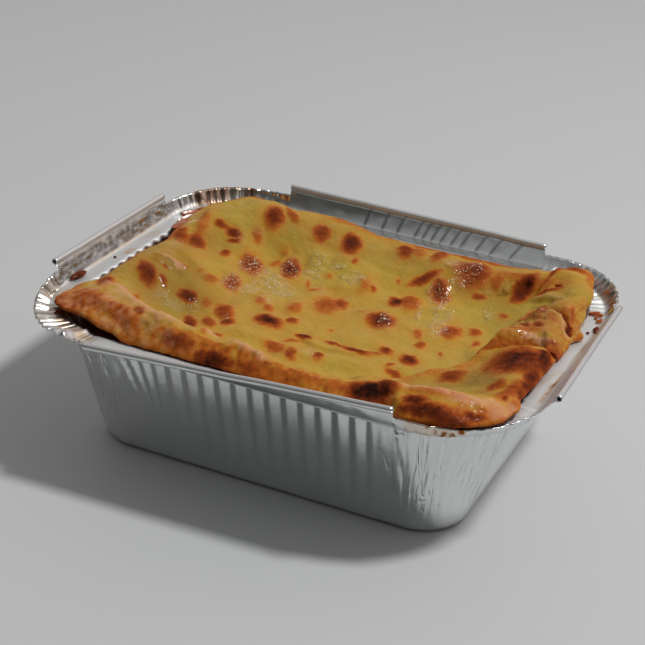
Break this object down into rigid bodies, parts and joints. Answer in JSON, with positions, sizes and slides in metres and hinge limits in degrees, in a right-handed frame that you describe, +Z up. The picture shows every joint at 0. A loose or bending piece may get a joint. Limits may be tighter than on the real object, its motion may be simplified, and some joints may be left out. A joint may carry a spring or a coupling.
{
  "type": "foil tray meal",
  "caption": "Baked pasta with a browned cheese top, one corner lifted and a flap along its right side, in an oblong fluted foil tray with leaning flanges.",
  "frame": {"origin": "middle of the tray's flat base, on the surface that it stands on", "axes": "+X along the long sides, towards the end with the side flap; -Y towards the front long side; +Z up"},
  "size_m": [0.1576, 0.1344, 0.0485],
  "materials": {
    "foil": "bright thin foil, fluted, pleated and creased",
    "filling": "moist, dark red brown",
    "browned_cheese": "oily melted cheese, yellow with brown and nearly black spots"
  },
  "bodies": {
    "root": {"foil_tray": "foil", "meat_filling": "filling", "cheese_sheet": "browned_cheese", "side_flap": "browned_cheese"}
  },
  "joints": []
}
